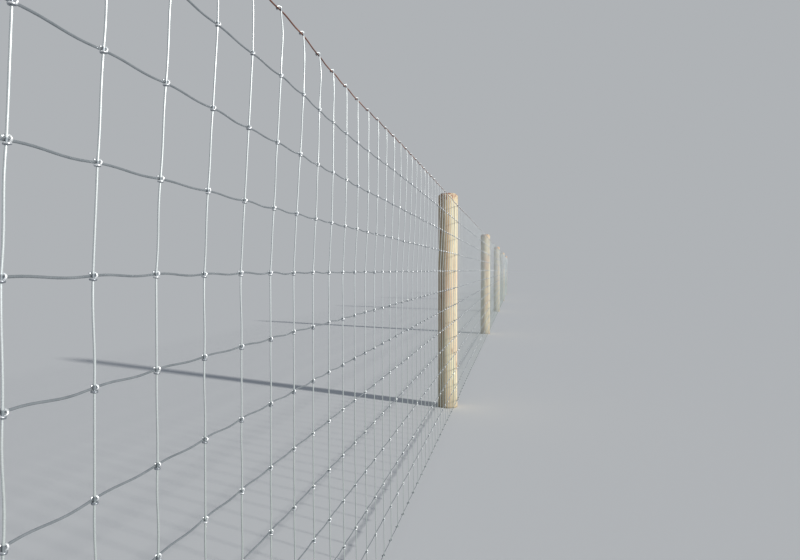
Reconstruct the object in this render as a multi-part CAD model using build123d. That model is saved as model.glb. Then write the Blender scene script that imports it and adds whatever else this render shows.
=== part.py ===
from build123d import *
import os

# A post and wire fence: square woven mesh on the -Y side of a row of round timber posts.
# Millimetres. X runs along the fence, Z is up, and the origin is the foot of the first post.

# Driving dimensions of the mesh

stay_spacing = 101.6
stays_per_bay = 45
bay_count = 5
line_spacing = 101.6
line_wire_count = 13
ground_gap = 50.0
wire_diameter = 2.5
wire_sides = 6
stay_tail = 3.0
wire_tail = 30.0

# Driving dimensions of the posts

post_diameter = 125.0
post_above_wire = 81.0
post_chamfer = 18.0

# Clearance between pieces that bear on each other

seat = 0.3

# Places worked out from the dimensions above

bay_length = stays_per_bay * stay_spacing
post_places = [number * bay_length for number in range(bay_count + 1)]
wire_heights = [ground_gap + number * line_spacing for number in range(line_wire_count)]
post_height = wire_heights[-1] + post_above_wire
wire_radius = wire_diameter / 2

# The plain line wires bear on the posts, the stays bear on the line wires, and the two line wires
# that carry the stays lie face to face with them.

line_wire_y = -(post_diameter / 2 + seat + wire_radius)
stay_y = line_wire_y - wire_diameter - seat
carrier_y = stay_y + wire_diameter


def level_wire(start, end, y, z):
    """A wire along the fence, with two of its flats upright and facing the posts and the stays."""
    across = Plane(origin=(start, y, z), x_dir=(0, 0, 1), z_dir=(1, 0, 0))
    return extrude(across * wire_section(), end - start)


def wire_section():
    return RegularPolygon(radius=wire_radius, side_count=wire_sides, major_radius=False)


def upright_wire(x):
    """A stay, from just below the lowest line wire to just above the top one."""
    foot = wire_heights[0] - stay_tail
    length = wire_heights[-1] - wire_heights[0] + 2 * stay_tail
    return extrude(Pos(x, stay_y, foot) * wire_section(), length)


def post(place):
    """A round post with a chamfered top, standing on the ground."""
    shaft = Pos(place, 0, 0) * Cylinder(
        post_diameter / 2, post_height, align=(Align.CENTER, Align.CENTER, Align.MIN)
    )
    top_rim = shaft.edges().group_by(Axis.Z)[-1]
    return chamfer(top_rim, post_chamfer)


def bay_of_stays(bay):
    """The stays of one bay, joined by the lowest line wire and the one under the top wire."""
    start = post_places[bay]
    end = post_places[bay + 1]
    stays = [upright_wire(start + (number + 0.5) * stay_spacing) for number in range(stays_per_bay)]
    if bay == 0:
        start -= wire_tail
    if bay == bay_count - 1:
        end += wire_tail
    carriers = [level_wire(start, end, carrier_y, z) for z in (wire_heights[0], wire_heights[-2])]
    return Part() + carriers + stays


def whole_line_wire(z):
    """A line wire that runs past every post and ends just beyond the outer ones."""
    return level_wire(-wire_tail, post_places[-1] + wire_tail, line_wire_y, z)


os.makedirs("parts", exist_ok=True)

for number, place in enumerate(post_places, start=1):
    export_step(post(place), f"parts/post_{number}.step")

for bay in range(bay_count):
    export_step(bay_of_stays(bay), f"parts/mesh_bay_{bay + 1}.step")

# Line wires are numbered from the ground. The lowest and the last but one belong to the bays.
for number in range(2, line_wire_count - 1):
    export_step(whole_line_wire(wire_heights[number - 1]), f"parts/line_wire_{number}.step")

export_step(whole_line_wire(wire_heights[-1]), "parts/top_wire.step")
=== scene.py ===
import math
from collections import namedtuple

import bpy
import numpy as np
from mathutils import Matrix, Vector


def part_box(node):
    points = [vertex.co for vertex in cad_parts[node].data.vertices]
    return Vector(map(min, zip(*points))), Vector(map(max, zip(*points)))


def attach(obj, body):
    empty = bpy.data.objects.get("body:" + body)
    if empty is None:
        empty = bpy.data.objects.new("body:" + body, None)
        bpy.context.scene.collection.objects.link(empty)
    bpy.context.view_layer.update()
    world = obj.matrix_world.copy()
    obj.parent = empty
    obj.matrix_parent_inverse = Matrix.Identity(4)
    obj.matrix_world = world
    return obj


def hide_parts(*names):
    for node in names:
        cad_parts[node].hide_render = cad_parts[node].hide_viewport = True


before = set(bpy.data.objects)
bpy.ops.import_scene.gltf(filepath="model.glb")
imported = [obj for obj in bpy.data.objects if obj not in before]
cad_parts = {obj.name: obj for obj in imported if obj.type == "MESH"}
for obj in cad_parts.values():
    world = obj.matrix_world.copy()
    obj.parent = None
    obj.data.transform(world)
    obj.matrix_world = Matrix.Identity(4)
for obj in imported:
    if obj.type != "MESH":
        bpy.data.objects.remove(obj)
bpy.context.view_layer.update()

# Sizes of the fence, in metres, read from the frame where it holds them

BAYS = 5
POSTS = BAYS + 1
STAYS_PER_BAY = 45
LINE_WIRES = 13
WIRE_TAIL = 0.030

post_low, post_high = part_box("post_1")
POST_RADIUS = (post_high.x - post_low.x) / 2
POST_HEIGHT = post_high.z - post_low.z
POST_CHAMFER = 0.015

second_low, second_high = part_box("line_wire_2")
LINE_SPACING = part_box("line_wire_3")[0].z - second_low.z
FIRST_LINE = (second_low.z + second_high.z) / 2 - LINE_SPACING
WIRE = second_high.y - second_low.y
WIRE_RADIUS = WIRE / 2
LINE_Y = (second_low.y + second_high.y) / 2

BAY = (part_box(f"post_{POSTS}")[0].x - post_low.x) / BAYS
LENGTH = BAYS * BAY
STAY_SPACING = BAY / STAYS_PER_BAY
STAYS = BAYS * STAYS_PER_BAY

# How finely each bay's wires are made: the sides of a wire and of a knot's wire, and the steps along a line
# wire's span, a stay's span, a knot and a hook. The first bay is the one beside the camera.

Fineness = namedtuple("Fineness", "wire_sides knot_sides line_steps stay_steps knot_steps hook_steps")
NEAREST = Fineness(wire_sides=8, knot_sides=6, line_steps=10, stay_steps=8, knot_steps=28, hook_steps=18)
NEXT = Fineness(wire_sides=6, knot_sides=4, line_steps=6, stay_steps=5, knot_steps=18, hook_steps=12)
FAR = Fineness(wire_sides=4, knot_sides=4, line_steps=4, stay_steps=3, knot_steps=12, hook_steps=9)
FINENESS = [NEAREST, NEXT, FAR, FAR, FAR]

rng = np.random.default_rng(48)


# Meshes from arrays

def fan(count):
    """Quads that close a ring of an even number of points, as places in the ring."""
    return [(0, corner, corner + 1, corner + 2) for corner in range(1, count - 2, 2)]


def sweep(paths, radius, sides):
    """Round wires along paths, an array of shape (wires, points, 3), as (points, quads, flat quads).

    Each ring's first direction is the last ring's, turned square to the path, so that no wire twists.
    """
    wires, steps, _ = paths.shape
    tangents = np.gradient(paths, axis=1)
    tangents /= np.linalg.norm(tangents, axis=2, keepdims=True)
    least = np.argmin(np.abs(tangents[:, 0]), axis=1)
    normal = np.eye(3)[least]
    angles = np.arange(sides) * math.tau / sides
    rings = np.empty((wires, steps, sides, 3))
    for step in range(steps):
        tangent = tangents[:, step]
        normal = normal - (normal * tangent).sum(1, keepdims=True) * tangent
        normal /= np.linalg.norm(normal, axis=1, keepdims=True)
        across = np.cross(tangent, normal)
        ring = np.cos(angles)[:, None] * normal[:, None] + np.sin(angles)[:, None] * across[:, None]
        rings[:, step] = paths[:, step, None] + radius * ring
    ring_index = np.arange(wires * steps * sides).reshape(wires, steps, sides)
    here, there = ring_index[:, :-1], ring_index[:, 1:]
    side_quads = np.stack([here, np.roll(here, -1, 2), np.roll(there, -1, 2), there], axis=-1)
    ends = [ring_index[:, -1][:, quad] for quad in fan(sides)]
    starts = [ring_index[:, 0][:, quad[::-1]] for quad in fan(sides)]
    return rings.reshape(-1, 3), side_quads.reshape(-1, 4), np.concatenate(ends + starts)


def joined(parts):
    """Several (points, quads, flat quads) as one."""
    points, quads, flats, first = [], [], [], 0
    for part_points, part_quads, part_flats in parts:
        points.append(part_points)
        quads.append(part_quads + first)
        flats.append(part_flats + first)
        first += len(part_points)
    return np.concatenate(points), np.concatenate(quads), np.concatenate(flats)


def piece(name, shape, material, replaced=(), origin=(0, 0, 0)):
    """Adds a piece of the fence from (points, smooth quads, flat quads), riding on the fence's one body."""
    points, quads, flats = shape
    corners = np.concatenate([quads, flats]).astype(np.int32)
    mesh = bpy.data.meshes.new(name)
    mesh.vertices.add(len(points))
    mesh.vertices.foreach_set("co", (points - np.array(origin)).astype(np.float32).ravel())
    mesh.loops.add(corners.size)
    mesh.loops.foreach_set("vertex_index", corners.ravel())
    mesh.polygons.add(len(corners))
    mesh.polygons.foreach_set("loop_start", np.arange(0, corners.size, 4, dtype=np.int32))
    mesh.polygons.foreach_set("use_smooth", np.arange(len(corners)) < len(quads))
    mesh.update(calc_edges=True)
    mesh.materials.append(material)
    thing = bpy.data.objects.new(name, mesh)
    thing.location = origin
    bpy.context.scene.collection.objects.link(thing)
    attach(thing, "root")
    if replaced:
        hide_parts(*replaced)


# Nodes that the materials share

# The sockets of a Mix node that mixes colours
MIX_AMOUNT, MIX_FIRST, MIX_SECOND = 0, 6, 7
MIX_RESULT = 2


def material_nodes(name):
    material = bpy.data.materials.new(name)
    material.use_nodes = True
    nodes = material.node_tree.nodes
    return material, nodes, material.node_tree.links.new, nodes["Principled BSDF"]


def feed(link, socket, value):
    """Links a socket to another one, or sets it to a colour or a number."""
    if isinstance(value, bpy.types.NodeSocket):
        link(value, socket)
    elif isinstance(value, tuple):
        socket.default_value = (*value, 1)
    else:
        socket.default_value = value


def place_on_object(nodes):
    return nodes.new("ShaderNodeTexCoord").outputs["Object"]


def split(nodes, link, vector):
    """The X, Y and Z of a vector."""
    node = nodes.new("ShaderNodeSeparateXYZ")
    link(vector, node.inputs["Vector"])
    return node.outputs["X"], node.outputs["Y"], node.outputs["Z"]


def stretched(nodes, link, coordinates, stretch):
    """coordinates times a factor along each axis."""
    mapping = nodes.new("ShaderNodeMapping")
    mapping.inputs["Scale"].default_value = stretch
    link(coordinates, mapping.inputs["Vector"])
    return mapping.outputs["Vector"]


def noise(nodes, link, coordinates, scale, detail, roughness=0.5, stretch=(1, 1, 1)):
    texture = nodes.new("ShaderNodeTexNoise")
    texture.inputs["Scale"].default_value = scale
    texture.inputs["Detail"].default_value = detail
    texture.inputs["Roughness"].default_value = roughness
    link(stretched(nodes, link, coordinates, stretch), texture.inputs["Vector"])
    return texture.outputs["Fac"]


def calculated(nodes, link, operation, *values):
    node = nodes.new("ShaderNodeMath")
    node.operation = operation
    for socket, value in zip(node.inputs, values):
        feed(link, socket, value)
    return node.outputs["Value"]


def faded(nodes, link, value, start, end, at_start, at_end):
    """at_start where value is start or less, at_end where it is end or more, and in proportion between."""
    node = nodes.new("ShaderNodeMapRange")
    node.inputs["From Min"].default_value = start
    node.inputs["From Max"].default_value = end
    node.inputs["To Min"].default_value = at_start
    node.inputs["To Max"].default_value = at_end
    link(value, node.inputs["Value"])
    return node.outputs["Result"]


def ramp(nodes, link, value, stops):
    """A colour ramp; stops are (place, colour)."""
    node = nodes.new("ShaderNodeValToRGB")
    link(value, node.inputs["Fac"])
    elements = node.color_ramp.elements
    while len(elements) < len(stops):
        elements.new(0.5)
    for element, (place, colour) in zip(elements, stops):
        element.position = place
        element.color = (*colour, 1)
    return node.outputs["Color"]


def grey_ramp(nodes, link, value, stops):
    """A ramp of greys; stops are (place, level)."""
    return ramp(nodes, link, value, [(place, (level, level, level)) for place, level in stops])


def mixed(nodes, link, amount, first, second, blend="MIX"):
    """first and second mixed by amount. Each is a socket, or else a colour or a number."""
    node = nodes.new("ShaderNodeMix")
    node.data_type = "RGBA"
    node.blend_type = blend
    feed(link, node.inputs[MIX_AMOUNT], amount)
    feed(link, node.inputs[MIX_FIRST], first)
    feed(link, node.inputs[MIX_SECOND], second)
    return node.outputs[MIX_RESULT]


def multiplied(nodes, link, amount, first, second):
    """first darkened by second, by an amount."""
    return mixed(nodes, link, amount, first, second, blend="MULTIPLY")


def add_bump(nodes, link, shader, height, strength, distance):
    bump = nodes.new("ShaderNodeBump")
    bump.inputs["Strength"].default_value = strength
    bump.inputs["Distance"].default_value = distance
    link(height, bump.inputs["Height"])
    link(bump.outputs["Normal"], shader.inputs["Normal"])


# Zinc wire

# Noise cells to a metre in the zinc's patches and in the marks of drawing, and how deep those marks are
ZINC_PATCHES = 38
DRAWING_MARKS = 900
WIRE_RELIEF = 0.0003

# Heights over the ground between which the painted shade towards the ground fades out
PAINTED_SHADE_FULL_BELOW = 0.50
PAINTED_SHADE_GONE_ABOVE = 0.85

# Painted shade at every line wire. On the stays it stands in for the knot's shadow inside the knot, and on
# the knots for the shaded underside of the wrap under the line wire. Each has its tone, how far below the
# line wire its middle lies, and its reach up and down from there. Its soft edge reaches the edge width given
# below to each side of that.
PaintedShadeBand = namedtuple("PaintedShadeBand", "tone drop reach")
PAINTED_SHADE_EDGE = 0.0005
PAINTED_SHADOW_INSIDE_KNOTS = PaintedShadeBand((0.40, 0.42, 0.45), drop=0.0008, reach=0.0025)
PAINTED_SHADE_UNDER_KNOTS = PaintedShadeBand((0.38, 0.40, 0.43), drop=0.0043, reach=0.0013)


def zinc(name, bright, dull, metallic, painted_low_shade=None, painted_shade_band=None):
    """Galvanised wire: bright zinc with duller patches and fine drawing marks.

    It can be darkened towards the ground, and banded darker at every line wire, both as painted shade.
    """
    material, nodes, link, shader = material_nodes(name)
    place = place_on_object(nodes)
    _, _, height = split(nodes, link, place)
    patches = noise(nodes, link, place, ZINC_PATCHES, detail=5, roughness=0.65)
    marks = noise(nodes, link, place, DRAWING_MARKS, detail=2)
    colour = ramp(nodes, link, patches, [(0.36, dull), (0.62, bright)])
    # Painted shade: darker towards the ground, where the sun's highlight on the stays fades
    if painted_low_shade:
        painted_low_amount = faded(nodes, link, height, PAINTED_SHADE_FULL_BELOW, PAINTED_SHADE_GONE_ABOVE, 1.0, 0.0)
        colour = multiplied(nodes, link, painted_low_amount, colour, painted_low_shade)
    # Painted shade: a darker band at every line wire
    if painted_shade_band:
        # The height counted in line wires, and how far that is from a whole number
        shift = (painted_shade_band.drop - FIRST_LINE) / LINE_SPACING
        line_number = calculated(nodes, link, "MULTIPLY_ADD", height, 1 / LINE_SPACING, shift)
        from_line = calculated(nodes, link, "PINGPONG", line_number, 0.5)
        inside = (painted_shade_band.reach - PAINTED_SHADE_EDGE) / LINE_SPACING
        outside = (painted_shade_band.reach + PAINTED_SHADE_EDGE) / LINE_SPACING
        painted_band_amount = faded(nodes, link, from_line, inside, outside, 1.0, 0.0)
        colour = multiplied(nodes, link, painted_band_amount, colour, painted_shade_band.tone)
    speckle = grey_ramp(nodes, link, marks, [(0.35, 0.80), (0.60, 1.0)])
    link(multiplied(nodes, link, 0.6, colour, speckle), shader.inputs["Base Color"])
    link(grey_ramp(nodes, link, patches, [(0.3, 0.46), (0.7, 0.28)]), shader.inputs["Roughness"])
    shader.inputs["Metallic"].default_value = metallic
    add_bump(nodes, link, shader, marks, 0.10, WIRE_RELIEF)
    return material


# The top wire's coat

COAT_DARK = (0.12, 0.038, 0.020)
COAT_RED = (0.26, 0.085, 0.042)
COAT_BLEACHED = (0.42, 0.175, 0.095)
COAT_STRETCHES = 22
COAT_PIMPLES = 700


def coated_wire():
    """The top wire's rust-red coat, with darker and sun-bleached stretches."""
    material, nodes, link, shader = material_nodes("coated_wire")
    place = place_on_object(nodes)
    stretches = noise(nodes, link, place, COAT_STRETCHES, detail=5, roughness=0.6, stretch=(0.5, 1, 1))
    colour = ramp(nodes, link, stretches, [(0.30, COAT_DARK), (0.50, COAT_RED), (0.70, COAT_BLEACHED)])
    link(colour, shader.inputs["Base Color"])
    shader.inputs["Roughness"].default_value = 0.42
    pimples = noise(nodes, link, place, COAT_PIMPLES, detail=2)
    add_bump(nodes, link, shader, pimples, 0.3, WIRE_RELIEF)
    return material


# Post wood

PALE_WOOD = (0.98, 0.94, 0.69)
CREAM_WOOD = (0.95, 0.82, 0.56)
TAN_WOOD = (0.79, 0.57, 0.34)
PINK_WOOD = (0.89, 0.61, 0.43)
BRANCH_RING = (0.55, 0.36, 0.21)
BRANCH_HEART = (0.28, 0.15, 0.08)
BAST = (0.37, 0.11, 0.10)
FOOT_STAIN = (0.36, 0.27, 0.17)
DARK_END_GRAIN = (0.55, 0.38, 0.22)
LIGHT_END_GRAIN = (0.80, 0.67, 0.48)

# Noise cells to a metre, along X, Y and Z
FIBRES = (240, 240, 7)
GRAIN_BANDS = (38, 38, 1.3)
PINK_PATCHES = (9, 9, 2.6)
BAST_FLECKS = (130, 130, 48)
BRANCHES = (14, 14, 6)
FIBRE_RELIEF = 0.0012

# How far below the top the bast grows dense, and how much is added to its noise at the top
BAST_REACH = 0.10
BAST_AT_TOP = 0.20

# How far up the foot's stain reaches, and how strong it is at the ground
STAIN_REACH = 0.16
STAIN_AT_GROUND = 0.45

# The Z of a surface's direction from which it starts to be end grain, and from which it is all end grain
END_GRAIN_STARTS = 0.80
END_GRAIN_WHOLE = 0.90
YEAR_RINGS = 75


def post_wood():
    """Peeled softwood: cream with tan grain and pinkish patches.

    It has a few branch knots, reddish bast left near the top, a stained foot and end grain on the top.
    """
    material, nodes, link, shader = material_nodes("post_wood")
    place = place_on_object(nodes)
    x, y, height = split(nodes, link, place)

    # Each post's own place is added, so that no two posts have the same grain.
    shifted = nodes.new("ShaderNodeVectorMath")
    link(place, shifted.inputs[0])
    link(nodes.new("ShaderNodeObjectInfo").outputs["Location"], shifted.inputs[1])
    grain_place = shifted.outputs["Vector"]

    fibres = noise(nodes, link, grain_place, 1, detail=5, roughness=0.6, stretch=FIBRES)
    bands = noise(nodes, link, grain_place, 1, detail=4, roughness=0.6, stretch=GRAIN_BANDS)
    patches = noise(nodes, link, grain_place, 1, detail=4, roughness=0.6, stretch=PINK_PATCHES)
    flecks = noise(nodes, link, grain_place, 1, detail=3, roughness=0.7, stretch=BAST_FLECKS)

    colour = ramp(nodes, link, bands, [(0.32, TAN_WOOD), (0.48, CREAM_WOOD), (0.66, PALE_WOOD)])
    fine = grey_ramp(nodes, link, fibres, [(0.32, 0.70), (0.50, 0.96), (0.70, 1.0)])
    colour = multiplied(nodes, link, 0.8, colour, fine)
    pink_amount = grey_ramp(nodes, link, patches, [(0.49, 0.0), (0.68, 0.6)])
    colour = mixed(nodes, link, pink_amount, colour, PINK_WOOD)

    # Knots where side branches were cut off: a darker heart in a softer ring
    branches = nodes.new("ShaderNodeTexVoronoi")
    branches.inputs["Scale"].default_value = 1
    link(stretched(nodes, link, grain_place, BRANCHES), branches.inputs["Vector"])
    from_branch = branches.outputs["Distance"]
    ring_amount = grey_ramp(nodes, link, from_branch, [(0.09, 0.55), (0.17, 0.0)])
    colour = mixed(nodes, link, ring_amount, colour, BRANCH_RING)
    heart_amount = grey_ramp(nodes, link, from_branch, [(0.05, 0.8), (0.09, 0.0)])
    colour = mixed(nodes, link, heart_amount, colour, BRANCH_HEART)

    # Bast: thin reddish strips everywhere, thick near the top
    near_top = faded(nodes, link, height, POST_HEIGHT - BAST_REACH, POST_HEIGHT, 0.0, BAST_AT_TOP)
    denser = calculated(nodes, link, "ADD", flecks, near_top)
    bast_amount = grey_ramp(nodes, link, denser, [(0.62, 0.0), (0.75, 0.80)])
    colour = mixed(nodes, link, bast_amount, colour, BAST)

    stain_amount = faded(nodes, link, height, 0.0, STAIN_REACH, STAIN_AT_GROUND, 0.0)
    colour = mixed(nodes, link, stain_amount, colour, FOOT_STAIN)

    flat_place = nodes.new("ShaderNodeCombineXYZ")
    link(x, flat_place.inputs["X"])
    link(y, flat_place.inputs["Y"])
    year_rings = nodes.new("ShaderNodeTexWave")
    year_rings.wave_type = "RINGS"
    year_rings.rings_direction = "SPHERICAL"
    year_rings.inputs["Scale"].default_value = YEAR_RINGS
    year_rings.inputs["Distortion"].default_value = 1.6
    link(flat_place.outputs["Vector"], year_rings.inputs["Vector"])
    end_grain = ramp(nodes, link, year_rings.outputs["Fac"], [(0.2, DARK_END_GRAIN), (0.8, LIGHT_END_GRAIN)])
    _, _, facing_up = split(nodes, link, nodes.new("ShaderNodeNewGeometry").outputs["True Normal"])
    on_top = faded(nodes, link, facing_up, END_GRAIN_STARTS, END_GRAIN_WHOLE, 0.0, 1.0)
    colour = mixed(nodes, link, on_top, colour, end_grain)

    link(colour, shader.inputs["Base Color"])
    shader.inputs["Roughness"].default_value = 0.78
    shader.inputs["Specular IOR Level"].default_value = 0.25
    add_bump(nodes, link, shader, fibres, 0.5, FIBRE_RELIEF)
    return material


# The stays, the line wires and the knots are one zinc. The stays and the knots get brighter tones as painted
# highlight, and the line wires a darker one as painted shade. The stays also take painted shade towards the
# ground, and the stays and the knots painted shade bands at the line wires.
STAY_ZINC_PAINTED_LIT = zinc(
    "zinc_stays_painted_lit",
    bright=(0.80, 0.86, 0.88),
    dull=(0.71, 0.77, 0.80),
    metallic=0.45,
    painted_low_shade=(0.83, 0.86, 0.82),
    painted_shade_band=PAINTED_SHADOW_INSIDE_KNOTS,
)
LINE_ZINC_PAINTED_SHADED = zinc("zinc_lines_painted_shaded", bright=(0.44, 0.48, 0.51), dull=(0.33, 0.37, 0.40), metallic=0.65)
KNOT_ZINC_PAINTED_LIT = zinc(
    "zinc_knots_painted_lit",
    bright=(0.95, 0.98, 1.0),
    dull=(0.84, 0.88, 0.93),
    metallic=0.65,
    painted_shade_band=PAINTED_SHADE_UNDER_KNOTS,
)
STAPLE_ZINC = zinc("zinc_staples", bright=(0.55, 0.56, 0.58), dull=(0.36, 0.37, 0.39), metallic=0.8)
COAT = coated_wire()
WOOD = post_wood()


# Where the wires run

# Rows are the line wires, counted from 0 at the ground. Between the posts the lower rows hang a little behind
# the straight line from post to post, and the upper rows stand in front of it. A higher grip keeps the mesh
# bowed nearer to the posts.
BELLY_ROWS = (0, 4, 8, 9.5, 11, 12)
BELLY = (-0.005, -0.010, -0.010, -0.001, 0.005, 0.005)
POST_GRIP = 6

# How much the stays lean, the crossings stray, and the wires sag and crimp
STAY_LEAN = 0.0006
CROSSING_SHIFT = 0.0004
LINE_SAG = 0.0006
LINE_CRIMP = 0.0010
LINE_CRIMP_RANGE = (0.6, 1.4)
STAY_CRIMP = 0.0007
STAY_CRIMP_RANGE = (-0.2, 1.6)

# The stays' bulge under the top wire. A higher rise puts its widest place nearer to the top wire.
TOP_BULGE = 0.0012
TOP_BULGE_RANGE = (-0.2, 1.5)
BULGE_RISE = 1.5

# The top rows of the first bay lean out beside the camera and back in further on.
SWELL_PLACES = (1.67, 1.83, 2.10, 2.60)
SWELL = (0.0045, -0.0038, -0.0070, 0.0)
SWELL_ROWS = (9.5, 10.8)

# Line wires that hang a little low, by number from 1 at the ground
LOW_LINES = {7: 0.0015, 8: 0.0008}

# Stays of the first bay, counted from 0, that stand off their place along the fence: how far up to the first
# of the knocked rows, how far at the last of them, the top wire, and how far they bulge out under it
KNOCKED_ROWS = (9, 12)
KNOCKED_STAYS = {
    12: (-0.0020, 0.0005, 0.0),
    13: (-0.0014, 0.0010, 0.0),
    14: (0.0, -0.0015, 0.0),
    15: (0.0022, 0.0, 0.0015),
    16: (0.0020, 0.0020, 0.0018),
    17: (0.0025, 0.0020, 0.0015),
    18: (0.0, -0.0010, 0.0),
}


def proud(x, row):
    """How far the mesh stands out towards -Y at a place along the fence, nothing at the posts."""
    across_bay = 2 * (x / BAY - np.floor(x / BAY)) - 1
    between_posts = 1 - across_bay**POST_GRIP
    swell = np.interp(x, SWELL_PLACES, SWELL) * np.interp(row, SWELL_ROWS, (0, 1))
    return between_posts * (np.interp(row, BELLY_ROWS, BELLY) + swell)


rows = np.arange(LINE_WIRES)
row_z = FIRST_LINE + rows * LINE_SPACING
for number, drop in LOW_LINES.items():
    row_z[number - 1] -= drop

# The crossings hold a row for each stay and a column for each line wire.
stay_x = (np.arange(STAYS) + 0.5) * STAY_SPACING
lean = rng.normal(0, STAY_LEAN, (STAYS, 1)) * np.linspace(-1, 1, LINE_WIRES)
crossing_x = stay_x[:, None] + lean + rng.normal(0, CROSSING_SHIFT, (STAYS, LINE_WIRES))
crossing_z = row_z + rng.normal(0, CROSSING_SHIFT, (STAYS, LINE_WIRES))
top_bulge = rng.uniform(*TOP_BULGE_RANGE, STAYS) * TOP_BULGE
for stay, (low_shift, top_shift, bulge) in KNOCKED_STAYS.items():
    crossing_x[stay] += np.interp(rows, KNOCKED_ROWS, (low_shift, top_shift))
    top_bulge[stay] += bulge
crossings = np.stack([crossing_x, LINE_Y - proud(crossing_x, rows), crossing_z], axis=-1)


def stays_of(bay):
    return slice(bay * STAYS_PER_BAY, (bay + 1) * STAYS_PER_BAY)


def smooth_path(points, steps):
    """A Catmull-Rom curve through points, with that many steps in all."""
    points = np.array(points, float)
    padded = np.concatenate([[2 * points[0] - points[1]], points, [2 * points[-1] - points[-2]]])
    places = np.linspace(0, len(points) - 1, steps + 1)
    span = np.minimum(places.astype(int), len(points) - 2)
    t = (places - span)[:, None]
    a, b, c, d = (padded[span + shift] for shift in range(4))
    cubic = (3 * b - 3 * c + d - a) * t**3
    return 0.5 * (2 * b + (c - a) * t + (2 * a - 5 * b + 4 * c - d) * t**2 + cubic)


def line_wire_shape(row):
    """A line wire over all the bays, crimped between the stays and straight across the posts."""
    stations = np.concatenate([[-WIRE_TAIL], crossing_x[:, row], [LENGTH + WIRE_TAIL]])
    heights = np.concatenate([[row_z[row]], crossing_z[:, row], [row_z[row]]])
    crimp = rng.uniform(*LINE_CRIMP_RANGE, STAYS + 1)
    crimp[::STAYS_PER_BAY] = 0
    shapes = []
    for bay, fineness in enumerate(FINENESS):
        first = bay * STAYS_PER_BAY
        last = first + STAYS_PER_BAY + (bay == BAYS - 1)
        share = np.arange(fineness.line_steps) / fineness.line_steps
        wave = LINE_CRIMP * np.sin(math.tau * share) - LINE_SAG * np.sin(np.pi * share) ** 2
        along, upright = [], []
        for span in range(first, last):
            along.append(stations[span] + share * (stations[span + 1] - stations[span]))
            upright.append(heights[span] + share * (heights[span + 1] - heights[span]) + crimp[span] * wave)
        along = np.concatenate([*along, [stations[last]]])
        upright = np.concatenate([*upright, [heights[last]]])
        path = np.stack([along, LINE_Y - proud(along, row), upright], axis=1)
        shapes.append(sweep(path[None], WIRE_RADIUS, fineness.wire_sides))
    return joined(shapes)


# Routes of a hook and a knot, in millimetres from the line wire's centre: along the fence, out from the posts
# and up

ROUTE_TO_METRES = (0.001, -0.001, 0.001)

# The hook at a stay's top end rises past the wire, leans back over it and tucks in behind. The lower end is
# its mirror image.
HOOK_ROUTE = (
    (0.0, 2.5, 0.0),
    (0.1, 2.7, 1.7),
    (-0.3, 2.4, 3.2),
    (-1.7, 1.0, 3.9),
    (-3.5, -0.9, 3.4),
    (-4.9, -2.3, 2.0),
    (-5.4, -2.6, 0.3),
    (-5.3, -1.9, -1.6),
    (-5.0, -0.6, -2.6),
)
HOOK_REACH_RANGE = (0.85, 1.2)

# A knot's wire starts behind the stay and over the line wire, comes down on the stay's right in a ring, goes
# behind the stay again under the line wire, and ends in a turn across the stay's front.
KNOT_ROUTE = (
    (-1.2, -0.7, 2.2),
    (-0.4, -0.2, 2.5),
    (0.4, 0.1, 2.8),
    (1.6, 0.8, 3.2),
    (2.6, 2.3, 3.0),
    (3.1, 3.6, 1.8),
    (3.1, 3.9, 0.2),
    (2.5, 3.2, -1.4),
    (1.6, 1.4, -2.4),
    (0.1, 0.1, -2.7),
    (-1.6, 0.7, -2.7),
    (-2.2, 2.3, -2.8),
    (-1.4, 4.1, -2.9),
    (0.1, 4.8, -3.0),
    (1.2, 4.2, -3.0),
)
KNOT_WIRE_RADIUS = 0.00125
KNOT_TILT = 0.10
KNOT_SIZE_RANGE = (0.95, 1.06)


def stay_shape(bay):
    """The stays of a bay, each in front of the line wires, with a hook round the lowest and the top one."""
    fineness = FINENESS[bay]
    own = stays_of(bay)
    centres = crossings[own]
    front = centres - (0, WIRE, 0)
    share = np.arange(fineness.stay_steps) / fineness.stay_steps
    points = []
    for row in range(LINE_WIRES - 1):
        here, there = front[:, row], front[:, row + 1]
        span = here[:, None] + share[None, :, None] * (there - here)[:, None]
        crimp = rng.uniform(*STAY_CRIMP_RANGE, (STAYS_PER_BAY, 1)) * STAY_CRIMP
        span[:, :, 0] += crimp * np.sin(math.tau * share)
        if row == LINE_WIRES - 2:
            span[:, :, 1] -= top_bulge[own, None] * np.sin(np.pi * share**BULGE_RISE) ** 2
        points.append(span)
    hook = smooth_path(HOOK_ROUTE, fineness.hook_steps) * ROUTE_TO_METRES
    reach = rng.uniform(*HOOK_REACH_RANGE, (2, STAYS_PER_BAY, 1, 1))
    low_hook, high_hook = hook + hook * (1, 0, 0) * (reach - 1)
    low_hook = low_hook * (1, 1, -1)
    points.insert(0, centres[:, :1] + low_hook[:, :0:-1])
    points.append(centres[:, -1:] + high_hook)
    return sweep(np.concatenate(points, axis=1), WIRE_RADIUS, fineness.wire_sides)


def knot_shape(bay):
    """The knots of a bay, one at each crossing but those of the outer line wires."""
    fineness = FINENESS[bay]
    route = smooth_path(KNOT_ROUTE, fineness.knot_steps) * ROUTE_TO_METRES
    centres = crossings[stays_of(bay), 1:-1].reshape(-1, 3)
    tilt = rng.normal(0, KNOT_TILT, len(centres))[:, None]
    size = rng.uniform(*KNOT_SIZE_RANGE, (len(centres), 1, 1))
    along = route[:, 0] * np.cos(tilt) + route[:, 2] * np.sin(tilt)
    upright = route[:, 2] * np.cos(tilt) - route[:, 0] * np.sin(tilt)
    paths = np.stack([along, np.broadcast_to(route[:, 1], along.shape), upright], axis=-1) * size
    return sweep(centres[:, None] + paths, KNOT_WIRE_RADIUS, fineness.knot_sides)


# Staples

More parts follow.
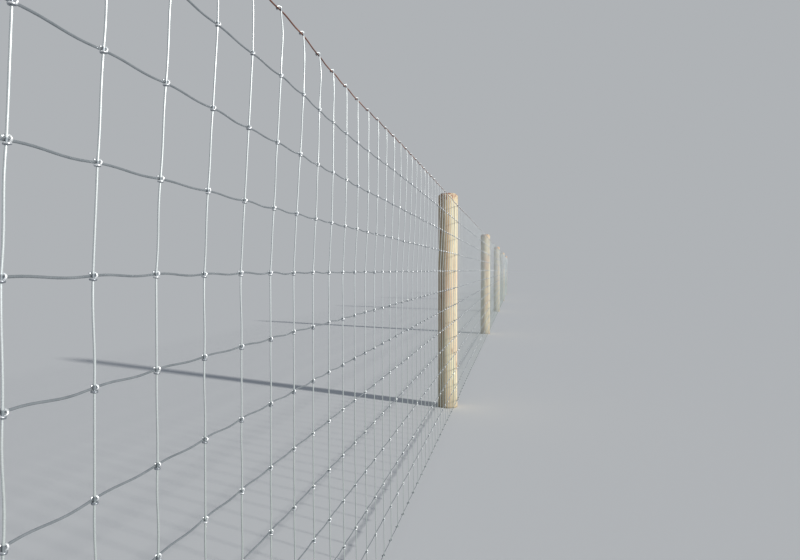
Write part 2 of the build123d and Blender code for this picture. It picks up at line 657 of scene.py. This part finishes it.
STAPLE_RADIUS = 0.0018
STAPLE_WIDTH = 0.0105
STAPLE_DEPTH = 0.006
STAPLE_BEND = 0.0035
STAPLE_GAP = 0.0002
STAPLE_SIDES = 6
STAPLE_BEND_POINTS = 9

# Mean and spread of a staple's slant in radians, and the spread of its place across the post
STAPLE_SLANT = (0.45, 0.12)
STAPLE_SHIFT = 0.003


def staple_shape(post):
    """The staples that hold the line wires to a post, each turned a little off the grain."""
    crown = LINE_Y - WIRE_RADIUS - STAPLE_RADIUS - STAPLE_GAP
    root = -POST_RADIUS + STAPLE_DEPTH
    half = STAPLE_WIDTH / 2
    turn = np.linspace(0, np.pi / 2, STAPLE_BEND_POINTS)[1:]
    across = np.concatenate([[-half], -half + STAPLE_BEND * (1 - np.cos(turn))])
    outward = np.concatenate([[root], crown + STAPLE_BEND * (1 - np.sin(turn))])
    across = np.concatenate([across, -across[::-1]])
    outward = np.concatenate([outward, outward[::-1]])
    slant = rng.normal(*STAPLE_SLANT, LINE_WIRES)[:, None]
    shift = rng.normal(0, STAPLE_SHIFT, LINE_WIRES)[:, None]
    x = post * BAY + shift + across * np.sin(slant)
    z = row_z[:, None] + across * np.cos(slant)
    return sweep(np.stack([x, np.broadcast_to(outward, x.shape), z], axis=-1), STAPLE_RADIUS, STAPLE_SIDES)


# Posts

POST_COLUMNS = 72
POST_LEVELS = [86, 86, 60, 40, 40, 40]

# The slightly rounded chamfer, as shares of its size: down from the top, and in from the side
RIM_DOWN = np.array([0.97, 0.75, 0.5, 0.25, 0.06, 0.0])
RIM_IN = np.array([0.0, 0.22, 0.47, 0.72, 0.92, 1.0])

# The rings that close the foot and the crown, as shares of the outer ring, and how far the crown dips
FOOT_RINGS = (0.1, 0.6)
CROWN_RINGS = (0.8, 0.55, 0.3, 0.1)
CROWN_DIP = 0.0006

# Shallow flats left by peeling, as waves: (share of the depth, waves round the post, turn for each metre up)
FLAT_DEPTH = 0.0006
FLATS = ((0.45, 2, 1.3), (0.35, 3, -2.1), (0.25, 7, 5), (0.25, 5, -9), (0.18, 11, 17), (0.15, 17, -29))
FLAT_SHARES = sum(share for share, _, _ in FLATS)

# Drying checks: how many a post has and how far they stray from even places round it, as a share of a gap,
# their half width in radians, their depth, and their foot and length as shares of the post's height
Check = namedtuple("Check", "centre width depth low high")
CHECKS = 4
CHECK_STRAY = 0.25
CHECK_WIDTH_RANGE = (0.012, 0.026)
CHECK_DEPTH_RANGE = (0.003, 0.009)
CHECK_FOOT_RANGE = (-0.1, 0.75)
CHECK_LENGTH_RANGE = (0.25, 0.75)

# Where a check has columns of points, as shares of its half width, and the angle it keeps clear of others
CHECK_COLUMNS = (-1.0, -0.45, 0.0, 0.45, 1.0)
CHECK_REACH = 0.095

# How pointed a check's ends and its bottom are
CHECK_END = 0.6
CHECK_BOTTOM = 1.3

# How far a check wanders round the post, in radians, and its turn for each metre up
SLOW_WANDER, SLOW_TURN = 0.020, 7
QUICK_WANDER, QUICK_TURN = 0.010, 19


def drying_checks():
    checks = []
    first = rng.uniform(0, math.tau)
    for number in range(CHECKS):
        centre = first + (number + rng.uniform(-CHECK_STRAY, CHECK_STRAY)) * math.tau / CHECKS
        low = rng.uniform(*CHECK_FOOT_RANGE) * POST_HEIGHT
        high = low + rng.uniform(*CHECK_LENGTH_RANGE) * POST_HEIGHT
        width = rng.uniform(*CHECK_WIDTH_RANGE)
        depth = rng.uniform(*CHECK_DEPTH_RANGE)
        checks.append(Check(centre, width, depth, low, high))
    return checks


def columns_round(checks):
    """The columns of points round a post, in order, as (angle, check or None, share of its half width).

    Their number is even, as the fans that close the post need.
    """
    plain = np.arange(POST_COLUMNS) * math.tau / POST_COLUMNS
    clear = np.ones(POST_COLUMNS, bool)
    for check in checks:
        gap = np.abs((plain - check.centre + math.pi) % math.tau - math.pi)
        clear &= gap > CHECK_REACH
    even = np.count_nonzero(clear) // 2 * 2
    columns = [(angle, None, 0.0) for angle in plain[clear][:even]]
    for check in checks:
        for share in CHECK_COLUMNS:
            columns.append(((check.centre + share * check.width) % math.tau, check, share))
    return sorted(columns, key=lambda column: column[0])


def post_shape(post):
    """A round peeled post with shallow flats, a few drying checks and a chamfered top."""
    columns = columns_round(drying_checks())
    body = np.linspace(0, POST_HEIGHT - POST_CHAMFER, POST_LEVELS[post])
    heights = np.concatenate([body, POST_HEIGHT - POST_CHAMFER * RIM_DOWN])
    inset = np.concatenate([np.zeros(len(body)), POST_CHAMFER * RIM_IN])

    # The last two of the ten phases drawn have no use. Drawing them keeps the later draws as they are.
    *flat_phases, slow_phase, quick_phase, _, _ = rng.uniform(0, math.tau, 10)
    angle, z = np.meshgrid([column[0] for column in columns], heights)
    swell = sum(
        share * np.cos(waves * angle + turn * z + phase)
        for (share, waves, turn), phase in zip(FLATS, flat_phases)
    )
    radius = POST_RADIUS - FLAT_DEPTH * (FLAT_SHARES - swell)
    for index, (_, check, share) in enumerate(columns):
        if check is None:
            continue
        along = np.clip((heights - check.low) / (check.high - check.low), 0, 1)
        opening = np.sin(np.pi * along) ** CHECK_END
        angle[:, index] += SLOW_WANDER * np.sin(SLOW_TURN * heights + slow_phase + check.centre)
        angle[:, index] += QUICK_WANDER * np.sin(QUICK_TURN * heights + quick_phase)
        radius[:, index] -= opening * check.depth * (1 - abs(share)) ** CHECK_BOTTOM
    radius -= inset[:, None]

    outer = np.stack([radius * np.cos(angle), radius * np.sin(angle), z], axis=-1)
    foot = [outer[:1] * (share, share, 1) for share in FOOT_RINGS]
    crown = [outer[-1:] * (share, share, 1) - (0, 0, CROWN_DIP * (1 - share)) for share in CROWN_RINGS]
    grid = np.concatenate([*foot, outer, *crown])
    levels, around, _ = grid.shape
    ring_index = np.arange(levels * around).reshape(levels, around)
    here, there = ring_index[:-1], ring_index[1:]
    quads = np.stack([here, np.roll(here, -1, 1), np.roll(there, -1, 1), there], axis=-1).reshape(-1, 4)
    closing = np.array(fan(around))
    caps = np.concatenate([ring_index[-1][closing], ring_index[0][closing][:, ::-1]])
    return grid.reshape(-1, 3) + (post * BAY, 0, 0), quads, caps


# The fence

for post in range(POSTS):
    place = (post * BAY, 0, 0)
    piece(f"post_wood_{post + 1}", post_shape(post), WOOD, [f"post_{post + 1}"], origin=place)
    piece(f"staples_{post + 1}", staple_shape(post), STAPLE_ZINC)

# The nodes of the bays hold the lowest line wire and the one under the top wire.
for row in range(LINE_WIRES - 1):
    shown_by_bays = row in (0, LINE_WIRES - 2)
    replaced = [] if shown_by_bays else [f"line_wire_{row + 1}"]
    piece(f"crimped_line_{row + 1}", line_wire_shape(row), LINE_ZINC_PAINTED_SHADED, replaced)

piece("coated_top_line", line_wire_shape(LINE_WIRES - 1), COAT, ["top_wire"])

for bay in range(BAYS):
    piece(f"stays_{bay + 1}", stay_shape(bay), STAY_ZINC_PAINTED_LIT, [f"mesh_bay_{bay + 1}"])
    piece(f"knots_{bay + 1}", knot_shape(bay), KNOT_ZINC_PAINTED_LIT)


# Floor, light and camera

FLOOR_REACH = 400
FLOOR_SEEN = (0.90, 0.93, 0.955)
FLOOR_BOUNCE = (0.40, 0.40, 0.40)
BACKDROP = (0.430, 0.449, 0.468)
SKYLIGHT = (0.17, 0.185, 0.21)
SUN_STRENGTH = 3.05
SUN_COLOUR = (1.0, 0.965, 0.91)
SUN_AZIMUTH = math.radians(250)
SUN_HEIGHT = math.radians(18.5)
SUN_SPREAD = math.radians(2.5)


def direction(azimuth, height):
    """A direction from its azimuth, which is 0 along +X and turns towards +Y, and its height over level."""
    level = math.cos(height)
    return Vector((level * math.cos(azimuth), level * math.sin(azimuth), math.sin(height)))


def seen_directly(nodes, link):
    """1 where the camera or a shiny surface looks, 0 where light is only gathered."""
    path = nodes.new("ShaderNodeLightPath")
    return calculated(nodes, link, "MAXIMUM", path.outputs["Is Camera Ray"], path.outputs["Is Glossy Ray"])


def plain_floor():
    mesh = bpy.data.meshes.new("floor")
    signs = ((-1, -1), (1, -1), (1, 1), (-1, 1))
    mesh.from_pydata([(FLOOR_REACH * x, FLOOR_REACH * y, 0) for x, y in signs], [], [(0, 1, 2, 3)])
    floor = bpy.data.objects.new("floor", mesh)
    bpy.context.scene.collection.objects.link(floor)
    material, nodes, link, shader = material_nodes("floor")
    tone = mixed(nodes, link, seen_directly(nodes, link), FLOOR_BOUNCE, FLOOR_SEEN)
    link(tone, shader.inputs["Base Color"])
    shader.inputs["Roughness"].default_value = 1.0
    shader.inputs["Specular IOR Level"].default_value = 0.0
    mesh.materials.append(material)


def soft_world():
    """Pale skylight, with the backdrop's own tone where the camera or a shiny surface sees it."""
    world = bpy.data.worlds.new("studio")
    world.use_nodes = True
    nodes, link = world.node_tree.nodes, world.node_tree.links.new
    tone = mixed(nodes, link, seen_directly(nodes, link), SKYLIGHT, BACKDROP)
    link(tone, nodes["Background"].inputs["Color"])
    bpy.context.scene.world = world


def low_sun():
    lamp = bpy.data.lights.new("sun", "SUN")
    lamp.energy = SUN_STRENGTH
    lamp.angle = SUN_SPREAD
    lamp.color = SUN_COLOUR
    sun = bpy.data.objects.new("sun", lamp)
    sun.rotation_euler = direction(SUN_AZIMUTH, SUN_HEIGHT).to_track_quat("Z", "Y").to_euler()
    bpy.context.scene.collection.objects.link(sun)


plain_floor()
soft_world()
low_sun()

# The camera stands beside the first bay on the mesh side and looks along the fence.

IMAGE_WIDTH = 800
FOCAL_PIXELS = 616.6
SENSOR = 36.0
CLIP_START = 0.02
CLIP_END = 1000
CAMERA_PLACE = (0.6711, -0.4353, 0.8678)
CAMERA_TURN = math.radians(10.817)
CAMERA_DIP = math.radians(0.935)

camera_data = bpy.data.cameras.new("camera")
camera_data.sensor_width = SENSOR
camera_data.lens = FOCAL_PIXELS / IMAGE_WIDTH * SENSOR
camera_data.clip_start = CLIP_START
camera_data.clip_end = CLIP_END
camera = bpy.data.objects.new("camera", camera_data)
camera.location = CAMERA_PLACE
camera.rotation_euler = direction(CAMERA_TURN, -CAMERA_DIP).to_track_quat("-Z", "Y").to_euler()
bpy.context.scene.collection.objects.link(camera)
bpy.context.scene.camera = camera
bpy.context.scene.view_settings.view_transform = "Standard"
